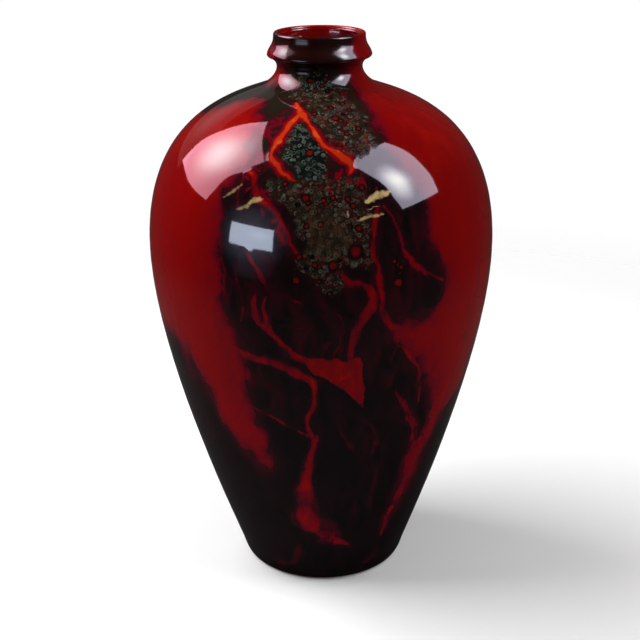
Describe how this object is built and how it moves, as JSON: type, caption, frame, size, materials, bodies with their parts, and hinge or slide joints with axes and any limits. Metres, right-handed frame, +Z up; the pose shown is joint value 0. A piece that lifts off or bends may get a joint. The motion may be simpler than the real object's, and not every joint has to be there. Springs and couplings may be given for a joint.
{
  "type": "meiping vase",
  "caption": "Tall round stoneware vase with a wide high shoulder, a short neck and a ridged mouth ring, in a glossy red and black streaked glaze.",
  "frame": {"origin": "centre of the foot, on the surface that the vase stands on", "axes": "+Z up along the axis that the vase is turned about; +X to the right and +Y away from the viewer of its front, which is the side with the widest black streaks"},
  "size_m": [0.186, 0.186, 0.3],
  "materials": {
    "bare_clay": "unglazed fired stoneware, matt",
    "flambe_glaze": "glossy red glaze streaked with near-black and tan",
    "liner_glaze": "glossy dark red glaze",
    "base_glaze": "glossy near-black glaze"
  },
  "bodies": {
    "root": {"lower_body": "bare_clay", "upper_body": "bare_clay", "neck_collar": "bare_clay", "outer_glaze": "flambe_glaze", "inner_glaze": "liner_glaze", "base_glaze": "base_glaze"}
  },
  "joints": []
}
